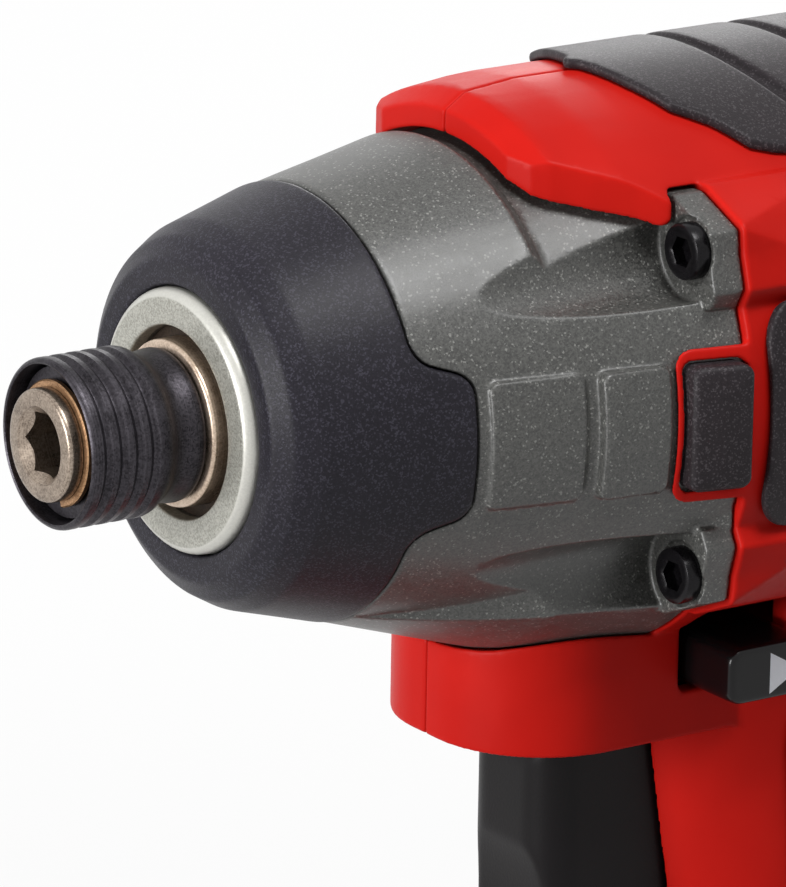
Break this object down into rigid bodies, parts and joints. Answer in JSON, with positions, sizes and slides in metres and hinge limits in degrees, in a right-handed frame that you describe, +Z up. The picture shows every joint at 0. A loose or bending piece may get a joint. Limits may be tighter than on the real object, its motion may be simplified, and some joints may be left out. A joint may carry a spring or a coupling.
{
  "type": "impact driver",
  "caption": "Cordless impact driver: hex bit sleeve, rubber-nosed grey hammer case, red housing with visor, trigger, direction selector and slide-on battery pack.",
  "frame": {"origin": "centre of the battery's base, on the surface that the tool stands on", "axes": "+X along the spindle axis towards the bit, +Y to the tool's left, +Z up"},
  "size_m": [0.165, 0.074, 0.2378],
  "materials": {
    "red_plastic": "moulded satin red plastic",
    "black_plastic": "moulded black plastic",
    "rubber": "speckled soft charcoal rubber",
    "cast_grey": "sparkling grey paint on a casting",
    "black_steel": "blackened steel",
    "bright_steel": "ground steel",
    "warm_steel": "hardened steel",
    "bronze": "bronze",
    "gear_steel": "sintered steel",
    "motor_steel": "zinc plated steel",
    "ferrite": "dark ferrite",
    "copper": "copper",
    "pale_plastic": "moulded white plastic",
    "lens": "clear lens",
    "board": "circuit board",
    "cell": "shrink wrapped cell",
    "carbon": "carbon"
  },
  "bodies": {
    "tool": {"housing_left": "red_plastic", "housing_right": "red_plastic", "housing_screws": "black_steel", "hammer_case": "cast_grey", "nose_boot": "rubber", "case_screws": "black_steel", "anvil_bush": "bronze", "thrust_washer": "bright_steel", "ring_gear": "gear_steel", "gearbox_plate": "black_plastic", "spindle_bearing": "bright_steel", "motor_can": "motor_steel", "motor_magnets": "ferrite", "motor_end_cap": "black_plastic", "brush_holder": "black_plastic", "carbon_brushes": "carbon", "front_bearing": "bright_steel", "rear_bearing": "bright_steel", "top_pad": "rubber", "side_panel_left": "rubber", "side_panel_right": "rubber", "side_bumper_left": "rubber", "side_bumper_right": "rubber", "rear_grip": "rubber", "switch_body": "black_plastic", "trigger_spring": "bright_steel", "lamp_lens": "lens", "lamp_board": "board", "clip_inserts": "bronze", "terminal_block": "black_plastic"},
    "spindle": {"spindle": "gear_steel", "cam_balls": "bright_steel", "planet_pins": "bright_steel", "hammer_spring": "bright_steel"},
    "planet_1": {"planet_gear_1": "gear_steel"},
    "planet_2": {"planet_gear_2": "gear_steel"},
    "planet_3": {"planet_gear_3": "gear_steel"},
    "rotor": {"motor_shaft": "bright_steel", "armature": "copper", "commutator": "copper", "motor_fan": "pale_plastic"},
    "hammer": {"hammer": "gear_steel", "spring_washer": "bright_steel", "thrust_balls": "bright_steel"},
    "anvil": {"anvil": "warm_steel", "sleeve_washer": "bright_steel", "sleeve_circlip": "bronze", "sleeve_spring": "bright_steel"},
    "sleeve": {"bit_sleeve": "black_steel"},
    "lock_ball_left": {"lock_ball_left": "bright_steel"},
    "lock_ball_right": {"lock_ball_right": "bright_steel"},
    "trigger": {"trigger": "black_plastic"},
    "selector": {"direction_selector": "black_plastic"},
    "battery": {"battery_lower_case": "black_plastic", "battery_upper_case": "black_plastic", "battery_cells": "cell", "battery_contacts": "copper", "battery_screws": "black_steel", "latch_spring": "bright_steel"},
    "latch": {"battery_latch": "red_plastic"}
  },
  "joints": [
    {"name": "spindle_spin", "type": "hinge", "parent": "tool", "child": "spindle", "pos_m": [0.02, 0, 0.205], "axis": [1, 0, 0], "continuous": true},
    {"name": "rotor_spin", "type": "hinge", "parent": "tool", "child": "rotor", "pos_m": [-0.02, 0, 0.205], "axis": [1, 0, 0], "continuous": true},
    {"name": "anvil_spin", "type": "hinge", "parent": "tool", "child": "anvil", "pos_m": [0.07, 0, 0.205], "axis": [1, 0, 0], "continuous": true},
    {"name": "planet_spin_1", "type": "hinge", "parent": "spindle", "child": "planet_1", "pos_m": [0.023, 0, 0.21625], "axis": [1, 0, 0], "continuous": true},
    {"name": "planet_spin_2", "type": "hinge", "parent": "spindle", "child": "planet_2", "pos_m": [0.023, 0.00974, 0.19937], "axis": [1, 0, 0], "continuous": true},
    {"name": "planet_spin_3", "type": "hinge", "parent": "spindle", "child": "planet_3", "pos_m": [0.023, -0.00974, 0.19937], "axis": [1, 0, 0], "continuous": true},
    {"name": "hammer_retract", "type": "slide", "parent": "spindle", "child": "hammer", "axis": [-1, 0, 0], "range_m": [0, 0.007], "stiffness_N_per_m": 4000, "springref_m": -0.004, "deforming": ["hammer_spring"]},
    {"name": "sleeve_slide", "type": "slide", "parent": "anvil", "child": "sleeve", "axis": [1, 0, 0], "range_m": [0, 0.004], "stiffness_N_per_m": 1500, "springref_m": -0.002, "deforming": ["sleeve_spring"]},
    {"name": "lock_ball_left_slide", "type": "slide", "parent": "anvil", "child": "lock_ball_left", "axis": [0, 1, 0], "range_m": [0, 0.00081]},
    {"name": "lock_ball_right_slide", "type": "slide", "parent": "anvil", "child": "lock_ball_right", "axis": [0, -1, 0], "range_m": [0, 0.00081]},
    {"name": "trigger_pull", "type": "slide", "parent": "tool", "child": "trigger", "axis": [-1, 0, 0], "range_m": [0, 0.006], "stiffness_N_per_m": 900, "springref_m": -0.003, "deforming": ["trigger_spring"]},
    {"name": "selector_shift", "type": "slide", "parent": "tool", "child": "selector", "axis": [0, 1, 0], "range_m": [-0.003, 0.003]},
    {"name": "battery_slide", "type": "slide", "parent": "tool", "child": "battery", "axis": [1, 0, 0], "range_m": [0, 0.075]},
    {"name": "latch_press", "type": "slide", "parent": "battery", "child": "latch", "axis": [0, 0, -1], "range_m": [0, 0.004], "stiffness_N_per_m": 700, "springref_m": -0.003, "deforming": ["latch_spring"]}
  ],
  "couplings": [
    {"joint": "rotor_spin", "follows": "spindle_spin", "ratio": 5},
    {"joint": "anvil_spin", "follows": "spindle_spin", "ratio": 1},
    {"joint": "planet_spin_1", "follows": "spindle_spin", "ratio": -2.6667},
    {"joint": "planet_spin_2", "follows": "spindle_spin", "ratio": -2.6667},
    {"joint": "planet_spin_3", "follows": "spindle_spin", "ratio": -2.6667},
    {"joint": "lock_ball_left_slide", "follows": "sleeve_slide", "ratio": 0.2},
    {"joint": "lock_ball_right_slide", "follows": "sleeve_slide", "ratio": 0.2}
  ]
}
